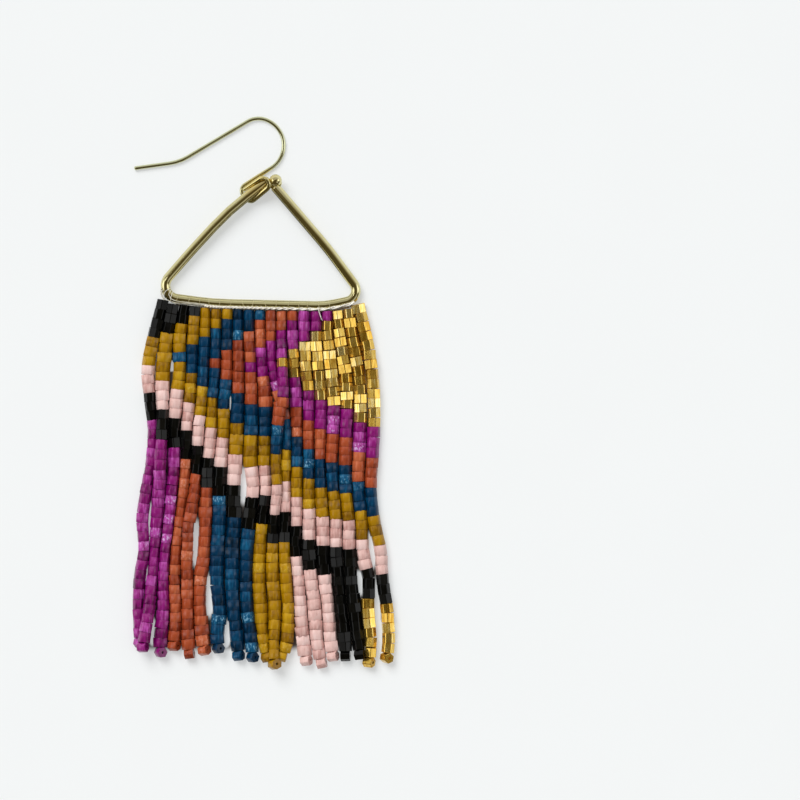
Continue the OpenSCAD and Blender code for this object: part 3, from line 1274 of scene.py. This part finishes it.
@dataclass
class Fringe:
    """The nineteen strings, each a piece of its own, and the thread inside them."""

    bead: CutBead = field(default_factory=CutBead)
    pattern: BeadPattern = field(default_factory=BeadPattern)
    skews: tuple[float, ...] = (-0.05, -0.015, 0.02, 0.055)
    slack: tuple[float, float] = (0.94, 0.98)
    gold_slack: float = 0.02
    corner_turn: float = 30.0
    corner_odds: float = 0.25
    gold_corner_odds: float = 0.6
    turn_spread: float = 8.0
    gold_turn_spread: float = 10.0
    same_level: float = 1.9
    thread_d: float = 0.28
    thread_rise: float = 0.45
    thread_end: float = 0.8
    thread_step: float = 1.2
    seed: int = 19

    def __post_init__(self) -> None:
        """Makes the beads' meshes and materials."""
        self.chance = random.Random(self.seed)
        self.shapes = [self.bead.mesh(skew) for skew in self.skews]
        self.finishes = {color: color.value.material() for color in BeadColor}
        self.strings = [BeadString(number) for number in range(1, len(STRINGS) + 1)]
        self.lines = {string.number: string.line() for string in self.strings}

    def turn_of(self, color: BeadColor) -> float:
        """Draws a bead's turn about its string: gold has a corner up more often than the rest.

        Args:
            color: The bead's colour.

        Returns:
            The turn in radians.
        """
        gold = color is BeadColor.GOLD
        corner_up = self.chance.random() < (self.gold_corner_odds if gold else self.corner_odds)
        spread = self.gold_turn_spread if gold else self.turn_spread
        return math.radians((self.corner_turn if corner_up else 0.0) + self.chance.gauss(0, spread))

    def room_beside(self, number: int, point: Vector) -> tuple[float, float]:
        """Half the way to the strings on either side of a bead.

        Args:
            number: The bead's string.
            point: Its place, with its lift as height.

        Returns:
            The room on its left and on its right.
        """
        rooms = {-1: [self.bead.outermost / 2], 1: [self.bead.outermost / 2]}
        for other, line in self.lines.items():
            beside = line.beside(point.y) if other != number else None
            if beside and abs(beside.z - point.z) < self.same_level:
                fullest = self.fullest_between(number, other, point.y)
                gap = min(max(abs(beside.x - point.x), self.bead.narrowest), fullest)
                rooms[-1 if beside.x < point.x else 1].append(gap / 2)
        return tuple(min(found[1:] or found) for found in (rooms[-1], rooms[1]))

    def fullest_between(self, number: int, other: int, y: float) -> float:
        """The widest that a bead may be towards another string.

        Args:
            number: The bead's string.
            other: The other string.
            y: The bead's height in the picture.

        Returns:
            The width, which is less where the floor shows between the two.
        """
        for left, top, foot, width in OPEN_GAPS:
            if abs(number - other) == 1 and left == min(number, other) and foot < y < top:
                return width
        return self.bead.fullest

    def set_bead(
        self, mesh: bmesh.types.BMesh, place: Matrix, turn: float, lift: float, slot: int, size: Vector
    ) -> None:
        """Adds one bead to a string's mesh and rests it at its height.

        Args:
            mesh: The string's mesh.
            place: The bead's frame.
            turn: Its turn about its own bore.
            lift: Height of its lowest point above the floor.
            slot: Number of its material.
            size: Its width, its greatest height and its length.
        """
        start_verts, start_faces = len(mesh.verts), len(mesh.faces)
        mesh.from_mesh(self.chance.choice(self.shapes))
        mesh.verts.ensure_lookup_table()
        mesh.faces.ensure_lookup_table()
        verts, faces = mesh.verts[start_verts:], mesh.faces[start_faces:]
        bmesh.ops.rotate(mesh, verts=verts, cent=(0, 0, 0), matrix=Matrix.Rotation(turn, 3, "Z"))
        wider = size.x / (2 * max(vert.co.x for vert in verts))
        higher = min(wider, size.y / (2 * max(vert.co.y for vert in verts)))
        bmesh.ops.scale(mesh, verts=verts, vec=(wider, higher, size.z / self.bead.length))
        bmesh.ops.transform(mesh, matrix=place, verts=verts)
        drop = min(vert.co.z for vert in verts) - lift
        bmesh.ops.translate(mesh, vec=(0, 0, -drop), verts=verts)
        own = mesh.verts.layers.float[BEAD_TONE]
        value = self.chance.uniform(-1.0, 1.0)
        for vert in verts:
            vert[own] = value
        for face in faces:
            face.material_index = slot

    def build_string(self, string: BeadString) -> bpy.types.Object:
        """Builds, dresses and rides one string of beads.

        Args:
            string: The string.

        Returns:
            The piece.
        """
        line = self.lines[string.number]
        pitch = STRINGS[string.number - 1][0]
        room = line.length - string.stopper_room
        count = round(room / pitch)
        lengths = [1 + self.chance.uniform(-string.uneven, string.uneven) for _ in range(count)]
        shrink = room / sum(lengths)
        passed = 0.0
        mesh = bmesh.new()
        mesh.verts.layers.float.new(BEAD_TONE)
        mesh.verts.layers.float.new(BEAD_ALONG)
        colors = list(BeadColor)
        for row, length in enumerate(lengths, 1):
            distance = (passed + length / 2) * shrink
            passed += length
            color = self.pattern.color(string.number, row)
            left, right = self.room_beside(string.number, line.at(distance))
            nod = Matrix.Rotation(self.chance.gauss(0, string.tilt), 4, "X")
            lean = Matrix.Rotation(self.chance.gauss(0, string.tilt), 4, "Y")
            aside = Matrix.Translation(((left - right) / 2, 0, 0))
            place = string.seat(line, distance) @ aside @ nod @ lean
            lift = line.at(distance).z + string.floor_gap
            slack = self.chance.uniform(*self.slack)
            fill = string.fill
            if color is BeadColor.GOLD:
                slack += self.gold_slack
                fill = string.gold_fill
            size = Vector(((left + right) * slack, self.bead.height, length * shrink * fill))
            self.set_bead(mesh, place, self.turn_of(color), lift, colors.index(color), size)
        self.set_stopper(mesh, string, line, colors.index(self.pattern.tail(string.number)))
        piece = shown(mesh, f"beads_{string.number:02d}", [self.finishes[color] for color in colors])
        for face in piece.data.polygons:
            face.use_smooth = not colors[face.material_index].value.crisp
        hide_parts(string.name)
        self.pattern.tail(string.number).slot
        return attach(piece, BODY)

    def set_stopper(
        self, mesh: bmesh.types.BMesh, string: BeadString, line: Line, slot: int
    ) -> None:
        """Adds the last bead, which the thread turns across the string.

        Args:
            mesh: The string's mesh.
            string: The string.
            line: Its route.
            slot: Number of its material.
        """
        lean, turn = (math.radians(value) for value in STOPPERS[string.number - 1])
        distance = line.length - string.stopper_room / 2
        seat = string.seat(line, distance)
        upright = Matrix.Rotation(math.radians(90), 4, "X") @ Matrix.Rotation(lean, 4, "Y")
        size = Vector((self.bead.height, self.bead.height, self.bead.length))
        self.set_bead(mesh, seat @ upright, turn, line.at(distance).z + string.floor_gap, slot, size)

    def build_thread(self) -> bpy.types.Object:
        """Draws the thread inside all the strings.

        Returns:
            The piece.
        """
        mesh = bmesh.new()
        height = Vector((0, 0, self.bead.across * self.thread_rise))
        for string in self.strings:
            line = self.lines[string.number]
            end = line.length - string.stopper_room * self.thread_end
            steps = round(end / self.thread_step)
            points = [line.at(end * n / steps) + height for n in range(steps + 1)]
            sweep(mesh, points, self.thread_d / 2)
        piece = shown(mesh, "string_threads", [THREAD_FINISH.material()])
        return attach(piece, BODY)

    def build(self) -> list[bpy.types.Object]:
        """Builds the whole fringe."""
        return [self.build_string(string) for string in self.strings] + [self.build_thread()]


# The threads left of the cord: each one's diameter, then points by their distance
# along the bar, their angle round it in degrees from straight up towards the beads,
# and their height over it in diameters
CORNER_THREADS = (
    (0.12, (
        (10.9, 28, 1.2), (9.2, 34, 0.9), (7.6, 42, 0.6), (6.2, 50, 0.6), (5.0, 58, 0.6), (3.9, 78, 0.6),
    )),
    (0.11, (
        (10.9, 22, 1.0), (9.0, 24, 0.8), (7.2, 28, 0.6), (5.6, 30, 0.6), (4.4, 24, 0.6), (3.6, 2, 0.6),
        (3.2, -30, 0.6), (3.0, -60, 0.6),
    )),
    (0.10, (
        (10.9, 34, 1.0), (9.6, 48, 1.0), (8.0, 58, 1.0), (6.6, 66, 0.8), (5.4, 74, 0.8), (4.6, 88, 0.6),
    )),
    (0.12, (
        (4.6, 84, 0.6), (4.4, 52, 0.6), (4.2, 20, 0.6), (4.0, -12, 0.6), (3.8, -44, 0.6),
        (3.6, -70, 0.6),
    )),
    (0.12, (
        (3.5, 96, 0.6), (3.2, 60, 0.6), (2.9, 30, 0.6), (2.7, 0, 0.6), (2.6, -30, 0.6), (2.5, -60, 0.6),
    )),
    (0.16, ((2.4, 40, 0.6), (2.6, 62, 0.7), (2.9, 80, 1.2), (3.3, 92, 1.8), (3.8, 96, 2.2))),
    (0.16, ((2.1, 50, 0.6), (2.4, 72, 0.9), (2.8, 86, 1.8), (3.4, 94, 2.6), (4.0, 96, 3.0))),
)

# The loose end's way over the beads: pixels of the photograph, and heights above
# the floor in millimetres
LOOSE_END = (
    (318.0, 307.5, 2.05), (318.6, 309.5, 2.1), (319.2, 312.0, 2.0), (320.2, 315.0, 1.95),
    (321.2, 318.0, 1.95), (322.4, 320.6, 1.97),
)


@dataclass(frozen=True)
class LaidCord:
    """A two-ply cord that lies along the bar.

    Its place round the bar is an angle from straight up towards the beads, its ends
    are how far from the bar's ends it starts and stops, and its twist is the length
    of one turn at its start and at its end.
    """

    name: str
    around: float
    ply_d: float
    ends: tuple[float, float]
    twist: tuple[float, float]


BAR_CORD = LaidCord("bar_thread", math.radians(35), 0.25, (10.4, 4.6), (1.1, 6.0))
LADDER_CORD = LaidCord("ladder_thread", math.radians(96), 0.2, (5.2, 5.0), (1.0, 1.0))


@dataclass
class BarLashing:
    """The thread that ties the strings to the bar: laid cords, wraps and a loose end."""

    frame: TriangleFrame
    plies: int = 2
    cord_step: float = 0.16
    ply_out: float = 0.95
    ply_swing: float = 0.45
    wrap_d: float = 0.055
    wrap_gap: float = 2.0
    wrap_points: int = 24
    wrap_sides: int = 5
    wraps_start: float = 5.4
    wrap_out: float = 0.8
    wrap_uneven: float = 0.3
    wrap_slant: tuple[float, float] = (-0.3, 0.5)
    hump_height: float = 1.9
    hump_power: int = 12
    corner_smoothing: int = 4
    loose_d: float = 0.15
    seed: int = 7

    def __post_init__(self) -> None:
        """Finds the bar and makes the threads' materials."""
        self.bar = self.frame.middle_of_bar()
        self.bar_radius = self.frame.wire_d / 2
        self.chance = random.Random(self.seed)
        self.finish = THREAD_FINISH.material()
        self.filament = FILAMENT_FINISH.material()
        self.wrap = WRAP_FINISH.material()
        self.shaded = SHADED_LADDER_FINISH.material()

    def around(self, distance: float, angle: float, out: float) -> Vector:
        """A point beside the bar.

        Args:
            distance: How far along the bar.
            angle: From straight up towards the beads.
            out: Distance from the bar's middle.

        Returns:
            The point.
        """
        along = self.bar.heading(distance)
        side = Vector((along.y, -along.x, 0)).normalized()
        up = Vector((0, 0, math.cos(angle) * out))
        return self.bar.at(distance) + side * math.sin(angle) * out + up

    def lay_cord(self, cord: LaidCord, finish: bpy.types.Material) -> bpy.types.Object:
        """Lays a cord along the bar.

        Args:
            cord: The cord.
            finish: Its material.

        Returns:
            The piece.
        """
        mesh = bmesh.new()
        start, end = cord.ends[0], self.bar.length - cord.ends[1]
        count = round((end - start) / self.cord_step)
        first, last = cord.twist
        for ply in range(self.plies):
            angle = 2 * math.pi * ply / self.plies
            points = []
            for n in range(count + 1):
                share = n / count
                angle += 2 * math.pi * self.cord_step / (first + (last - first) * share * share)
                out = self.bar_radius + cord.ply_d * (self.ply_out + self.ply_swing * math.sin(angle))
                swing = cord.ply_d * self.ply_swing * math.cos(angle) / self.bar_radius
                points.append(self.around(start + (end - start) * share, cord.around + swing, out))
            sweep(mesh, points, cord.ply_d / 2)
        return self.finished(mesh, cord.name, finish)

    def build_wraps(self) -> bpy.types.Object:
        """Winds the fine wraps round the bar and its cord, one to a string.

        Returns:
            The piece.
        """
        mesh = bmesh.new()
        radius = self.bar_radius + self.wrap_d * self.wrap_out
        count = int((self.bar.length - 2 * self.wraps_start) / self.wrap_gap)
        for n in range(count):
            stray = self.chance.uniform(-self.wrap_uneven, self.wrap_uneven)
            distance = self.wraps_start + n * self.wrap_gap + stray
            slant = self.chance.uniform(*self.wrap_slant)
            points = []
            for k in range(self.wrap_points):
                angle = 2 * math.pi * k / self.wrap_points
                hump = math.cos((angle - BAR_CORD.around) / 2) ** self.hump_power
                out = radius + hump * BAR_CORD.ply_d * self.hump_height
                point = self.around(distance + slant * math.sin(angle), angle, out)
                point.z = max(point.z, self.wrap_d)
                points.append(point)
            sweep(mesh, points, self.wrap_d / 2, sides=self.wrap_sides, closed=True)
        return self.finished(mesh, "bar_wraps", self.wrap)

    def build_corner(self) -> bpy.types.Object:
        """Draws the threads that run on past the cord and round the left corner.

        Returns:
            The piece.
        """
        mesh = bmesh.new()
        for thread_d, path in CORNER_THREADS:
            points = [
                self.around(distance, math.radians(degrees), self.bar_radius + thread_d * rise)
                for distance, degrees, rise in path
            ]
            sweep(mesh, smoothed(points, self.corner_smoothing), thread_d / 2)
        return self.finished(mesh, "corner_threads", self.filament)

    def build_loose_end(self) -> bpy.types.Object:
        """Draws the cut end of thread that lies over the magenta beads.

        Returns:
            The piece.
        """
        mesh = bmesh.new()
        sweep(mesh, [photo_point(*place) for place in LOOSE_END], self.loose_d / 2)
        return self.finished(mesh, "loose_thread", self.finish)

    @staticmethod
    def finished(
        mesh: bmesh.types.BMesh, name: str, finish: bpy.types.Material
    ) -> bpy.types.Object:
        """Dresses and rides a piece of thread.

        Args:
            mesh: Its mesh.
            name: Its name.
            finish: Its material.

        Returns:
            The piece.
        """
        piece = shown(mesh, name, [finish])
        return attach(piece, BODY)

    def build(self) -> list[bpy.types.Object]:
        """Builds all the lashing's pieces."""
        cords = [self.lay_cord(BAR_CORD, self.finish), self.lay_cord(LADDER_CORD, self.shaded)]
        return cords + [self.build_wraps(), self.build_corner(), self.build_loose_end()]


# Where the floor gets painted light between the strings: a pixel of the photograph,
# then how far the painted light reaches across and along, in millimetres
PAINTED_LIGHT_GAPS = (
    (151, 522, 1.1, 3.6), (196, 544, 1.1, 4.4), (208.5, 596, 1.1, 4.0), (225, 634, 1.1, 2.8),
    (243, 486, 1.1, 3.4), (229.5, 403, 0.7, 1.2), (171.0, 366, 0.7, 1.0), (358.5, 584, 1.1, 2.4),
    (371, 551, 1.1, 3.6), (375, 612, 1.1, 6.0), (380, 638, 1.0, 3.6), (147, 574, 0.7, 1.4),
    (152, 632, 0.8, 2.6),
)

# The bright panels of the room: turn round the object, height above the floor and
# half width in degrees, then strength
PANELS = (
    (92, 70, 9, 0.2), (318, 42, 17, 0.44), (180, 32, 17, 1.3), (4, 34, 16, 1.2),
    (162, 62, 4.0, 3.0),
)


@dataclass
class Studio:
    """The pale floor, the soft light and the camera straight above."""

    floor_size: float = 4.0
    floor_tone: Rgba = tone(186, 188, 188)
    # Painted light: how brightly the floor glows, to thin its shadows.
    floor_glow: float = 0.4
    floor_roughness: float = 0.85
    floor_specular: float = 0.2
    floor_grain: Grain = Grain(40)
    grain_range: tuple[float, float] = (0.3, 0.7)
    grain_dim: float = 0.99
    gap_edge: tuple[float, float] = (1.2, 0.8)
    # Painted shade: the darker floor tone under the fringe, inside this box, with its soft edge and its
    # flare downwards.
    shaded_tone: Rgba = tone(112, 104, 98)
    shaded_low: tuple[float, float, float] = (-20.4, -46.2, 0.0)
    shaded_high: tuple[float, float, float] = (19.6, 14.8, 0.0)
    shaded_edge: float = 1.4
    flare: float = 0.055
    apex: tuple[float, float, float] = (1.9, 39.0, 0.0)
    inner_turns: tuple[float, float] = (math.radians(315), math.radians(219))
    inner_floor: float = 19.5
    inner_rise: float = 2.0
    inner_dark: float = 0.8
    lens: float = 150.0
    sensor: float = 36.0
    view_z: float = 0.95
    key_turn: float = math.radians(122)
    key_height: float = math.radians(47)
    key_spread: float = math.radians(38)
    key_strength: float = 2.45
    fill: float = 0.48
    backdrop: float = 0.9
    glow_tone: Rgba = tone(253, 255, 255)
    dim: float = 0.09
    dim_tone: Rgba = (1.0, 0.8, 0.38, 1.0)
    dim_range: tuple[float, float] = (0.6, 0.12)
    wall: float = 0.42
    wall_turn: float = math.radians(88)
    wall_edge: tuple[float, float] = (0.05, 0.55)
    low_band: float = 0.4
    low_edge: tuple[float, float] = (0.75, 0.2)
    low_back: tuple[float, float] = (-0.3, 0.2)
    side_band: float = 0.3
    side_edge: tuple[float, float] = (0.3, 0.55)
    side_depth: tuple[float, float] = (0.24, 0.1)
    panel_edge: tuple[float, float] = (1.25, 0.75)

    def build_camera(self) -> None:
        """Places the camera over the middle of the photograph's frame."""
        data = bpy.data.cameras.new("camera")
        data.lens, data.sensor_width = self.lens, self.sensor
        height = self.view_z + PHOTO_PX * MM_PER_PX * self.lens / self.sensor
        camera = placed("camera", data)
        camera.location = photo_point(PHOTO_PX / 2, PHOTO_PX / 2, height) * MM
        bpy.context.scene.camera = camera

    def paint_mirror_shade(self, bench: NodeBench, here: bpy.types.NodeSocket) -> bpy.types.NodeSocket:
        """Paints shade on what gloss mirrors of the floor between the legs, where little light falls.

        Args:
            bench: The floor material's nodes.
            here: A place on the floor.

        Returns:
            The brightness that is left, for gloss alone.
        """
        offset = bench.vector("SUBTRACT", here, Vector(self.apex) * MM)
        turns = [self.direction(turn, 0.0) for turn in self.inner_turns]
        depth = bench.math("MINIMUM", *[bench.vector("DOT_PRODUCT", offset, turn) for turn in turns])
        height = bench.place("ShaderNodeSeparateXYZ", {0: here}).outputs["Y"]
        low, high = self.inner_floor * MM, (self.inner_floor + self.inner_rise) * MM
        inside = bench.between(depth, 0.0, MM, 0.0, self.inner_dark)
        inside = bench.math("MULTIPLY", inside, bench.between(height, low, high))
        ray = bench.place("ShaderNodeLightPath").outputs
        return bench.math("SUBTRACT", 1.0, bench.math("MULTIPLY", ray["Is Glossy Ray"], inside))

    def paint_floor_light(self, bench: NodeBench, here: bpy.types.NodeSocket) -> bpy.types.NodeSocket:
        """Paints the floor's light: painted shade under the fringe, painted light outside it and in the
        gaps between the strings.

        Args:
            bench: The floor material's nodes.
            here: A place on the floor.

        Returns:
            The share of full light there.
        """
        low, high = Vector(self.shaded_low), Vector(self.shaded_high)
        offset = bench.vector("SUBTRACT", here, (low + high) / 2 * MM)
        beyond = bench.vector("SUBTRACT", bench.vector("ABSOLUTE", offset), (high - low) / 2 * MM)
        parts = bench.place("ShaderNodeSeparateXYZ", {0: beyond}).outputs
        height = bench.place("ShaderNodeSeparateXYZ", {0: offset}).outputs["Y"]
        side = bench.math("ADD", parts["X"], bench.math("MULTIPLY", height, self.flare))
        lit = bench.between(bench.math("MAXIMUM", side, parts["Y"]), 0.0, self.shaded_edge * MM)
        # Painted light in the gaps between the strings.
        for px, py, across, along in PAINTED_LIGHT_GAPS:
            away = bench.vector("SUBTRACT", here, photo_point(px, py) * MM)
            share = bench.vector("MULTIPLY", away, Vector((1 / across, 1 / along, 0)) / MM)
            near = bench.between(bench.vector("LENGTH", share), *self.gap_edge)
            lit = bench.math("MAXIMUM", lit, near)
        return lit

    def floor_material(self) -> bpy.types.Material:
        """Makes the floor's sheet, with a glow of painted light that thins its shadows, kept off the
        painted shade under the fringe.

        Returns:
            The material.
        """
        material = bpy.data.materials.new("floor_sheet")
        material.use_nodes = True
        bench = NodeBench(material.node_tree)
        here = bench.here()
        lit = self.paint_floor_light(bench, here)
        left = self.paint_mirror_shade(bench, here)
        grain = bench.between(
            bench.speckle(self.floor_grain), *self.grain_range, to_low=self.grain_dim
        )
        # Painted shade: the darker tone under the fringe, and darker still in gloss between the legs.
        color = bench.blend(left, BLANK, bench.blend(lit, self.shaded_tone, self.floor_tone))
        principled = material.node_tree.nodes["Principled BSDF"]
        principled.inputs["Roughness"].default_value = self.floor_roughness
        principled.inputs["Specular IOR Level"].default_value = self.floor_specular
        principled.inputs["Emission Color"].default_value = self.glow_tone
        # Painted light: the glow lightens the floor's shadows.
        glow = bench.math("MULTIPLY", left, self.floor_glow)
        strength = bench.math("MULTIPLY", bench.math("MULTIPLY", lit, glow), grain)
        bench.tree.links.new(color, principled.inputs["Base Color"])
        bench.tree.links.new(strength, principled.inputs["Emission Strength"])
        return material

    def build_floor(self) -> None:
        """Lays the floor."""
        mesh = bmesh.new()
        bmesh.ops.create_grid(mesh, x_segments=1, y_segments=1, size=self.floor_size / 2)
        data = kept(mesh, "floor")
        data.materials.append(self.floor_material())
        floor = placed("floor", data)

    @staticmethod
    def direction(turn: float, height: float) -> Vector:
        """Unit vector at an angle round the object and above the floor, in radians."""
        flat = math.cos(height)
        return Vector((math.cos(turn) * flat, math.sin(turn) * flat, math.sin(height)))

    def build_key(self) -> None:
        """Hangs the wide key light at the upper left."""
        data = bpy.data.lights.new("key", "SUN")
        data.energy, data.angle = self.key_strength, self.key_spread
        toward = self.direction(self.key_turn, self.key_height)
        key = placed("key", data)
        key.rotation_mode = "QUATERNION"
        key.rotation_quaternion = toward.to_track_quat("Z", "Y")
        key.visible_glossy = False

    def mirrored_room(self, bench: NodeBench) -> bpy.types.NodeSocket:
        """Lays out what gloss mirrors: a wall behind, a low band, sides and bright panels.

        Args:
            bench: The room's nodes.

        Returns:
            The brightness in each direction.
        """
        heading = bench.place("ShaderNodeTexCoord").outputs["Generated"]
        parts = bench.place("ShaderNodeSeparateXYZ", {0: heading}).outputs
        back = bench.vector("DOT_PRODUCT", heading, self.direction(self.wall_turn, 0.0))
        wall = bench.between(back, *self.wall_edge, 0.0, self.wall)
        low = bench.between(parts["Z"], *self.low_edge, 0.0, self.low_band)
        low = bench.math("MULTIPLY", low, bench.between(parts["Y"], *self.low_back))
        sides = bench.between(bench.math("ABSOLUTE", parts["X"]), *self.side_edge, 0.0, self.side_band)
        depth = bench.between(bench.math("ABSOLUTE", parts["Y"]), *self.side_depth)
        sides = bench.math("MULTIPLY", sides, depth)
        mirrored = bench.math("ADD", bench.math("ADD", wall, low), bench.math("ADD", sides, self.dim))
        for turn, height, size, strength in PANELS:
            middle = self.direction(math.radians(turn), math.radians(height))
            rim, core = (math.cos(math.radians(size) * share) for share in self.panel_edge)
            near = bench.vector("DOT_PRODUCT", heading, middle)
            mirrored = bench.math("ADD", mirrored, bench.between(near, rim, core, 0.0, strength))
        return mirrored

    def build_room(self) -> None:
        """Makes the room: an even fill, a pale backdrop, and a mirrored room, warm where it is dim."""
        world = bpy.data.worlds.new("studio")
        world.use_nodes = True
        bpy.context.scene.world = world
        bench = NodeBench(world.node_tree)
        mirrored = self.mirrored_room(bench)
        ray = bench.place("ShaderNodeLightPath").outputs
        extra = bench.math("SUBTRACT", mirrored, self.fill)
        gloss = bench.math("MULTIPLY", ray["Is Glossy Ray"], extra)
        seen = bench.math("MULTIPLY", ray["Is Camera Ray"], self.backdrop - self.fill)
        strength = bench.math("ADD", bench.math("ADD", gloss, seen), self.fill)
        dimness = bench.between(mirrored, *self.dim_range)
        warm = bench.math("MULTIPLY", ray["Is Glossy Ray"], dimness)
        color = bench.blend(warm, WHITE, self.dim_tone)
        background = world.node_tree.nodes["Background"]
        bench.tree.links.new(strength, background.inputs["Strength"])
        bench.tree.links.new(color, background.inputs["Color"])

    def build(self) -> None:
        """Builds the whole studio."""
        bpy.context.scene.view_settings.view_transform = "Standard"
        self.build_camera()
        self.build_floor()
        self.build_key()
        self.build_room()


def main() -> None:
    """Builds the studio and the earring."""
    logging.basicConfig(level=logging.INFO, format="%(name)s: %(message)s")
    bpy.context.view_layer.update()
    Studio().build()
    triangle = TriangleFrame()
    pieces = [EarWire().build(), triangle.build()]
    pieces += Fringe().build()
    pieces += BarLashing(triangle).build()
    for piece in pieces:
        log.info("%s: %d faces", piece.name, len(piece.data.polygons))
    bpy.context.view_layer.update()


if __name__ == "__main__":
    main()
